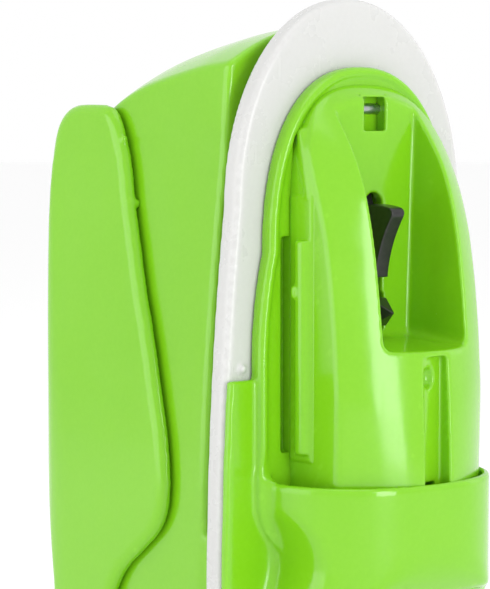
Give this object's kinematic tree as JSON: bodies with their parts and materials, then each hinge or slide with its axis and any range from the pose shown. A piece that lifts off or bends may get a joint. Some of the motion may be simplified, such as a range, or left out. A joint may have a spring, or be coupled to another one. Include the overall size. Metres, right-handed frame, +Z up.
{
  "type": "handheld bag heat sealer",
  "caption": "Upright hand-held bag heat sealer with a squeeze lever, a sliding heater bar behind a white plate and a hooked bag cutter in its front channel.",
  "frame": {"origin": "middle of the flat foot, on the plane it stands on, under the middle of the overall depth", "axes": "+Z up along the body, front with the cutter towards -Y, squeeze lever towards +Y, width along X"},
  "size_m": [0.046, 0.0604, 0.13],
  "materials": {
    "lime_plastic": "high gloss moulded lime green ABS",
    "white_plastic": "satin gloss white ABS",
    "black_plastic": "satin black moulded nylon",
    "beige_nylon": "heat resistant moulded plastic",
    "ceramic": "unglazed ceramic bar",
    "ptfe_film": "brown coated glass cloth",
    "silicone": "soft red silicone",
    "steel": "bright drawn steel",
    "brass": "sprung brass",
    "board": "green fibreglass board",
    "cell": "printed battery sleeve with no text"
  },
  "bodies": {
    "casing": {"front_shell": "lime_plastic", "mid_plate": "white_plastic", "silicone_pad": "silicone", "cutter_housing": "lime_plastic", "hook_pin": "steel", "hook_spring": "steel", "cutter_tooth": "black_plastic", "rear_shell": "lime_plastic", "lever_pin": "steel", "lever_spring": "steel", "carriage_spring_left": "steel", "carriage_spring_right": "steel", "battery_left": "cell", "battery_right": "cell", "battery_contact_top": "brass", "circuit_board": "board", "trigger_switch": "black_plastic", "battery_contact_bottom": "brass", "case_screw_1": "steel", "case_screw_2": "steel", "case_screw_3": "steel", "case_screw_4": "steel", "head_screw_1": "steel", "head_screw_2": "steel"},
    "lever": {"squeeze_lever": "lime_plastic"},
    "carriage": {"heater_carriage": "beige_nylon", "heater_bar": "ceramic", "heating_element": "steel", "release_film": "ptfe_film"},
    "hook": {"cutter_hook": "black_plastic"},
    "cover": {"battery_cover": "lime_plastic"}
  },
  "joints": [
    {"name": "lever_squeeze", "type": "hinge", "parent": "casing", "child": "lever", "pos_m": [0, 0.0068, 0.0595], "axis": [1, 0, 0], "range_deg": [0, 5], "stiffness_Nm_per_rad": 4, "springref_deg": -2.29},
    {"name": "carriage_slide", "type": "slide", "parent": "casing", "child": "carriage", "axis": [0, -1, 0], "range_m": [0, 0.0025], "stiffness_N_per_m": 10, "springref_m": -0.002},
    {"name": "hook_swing", "type": "hinge", "parent": "casing", "child": "hook", "pos_m": [0, -0.0151, 0.1155], "axis": [1, 0, 0], "range_deg": [0, 4], "stiffness_Nm_per_rad": 0.05, "springref_deg": -2.86},
    {"name": "cover_slide", "type": "slide", "parent": "casing", "child": "cover", "axis": [0, 0, -1], "range_m": [0, 0.012]}
  ],
  "couplings": [
    {"joint": "carriage_slide", "follows": "lever_squeeze", "m_per_rad": 0.028648}
  ]
}
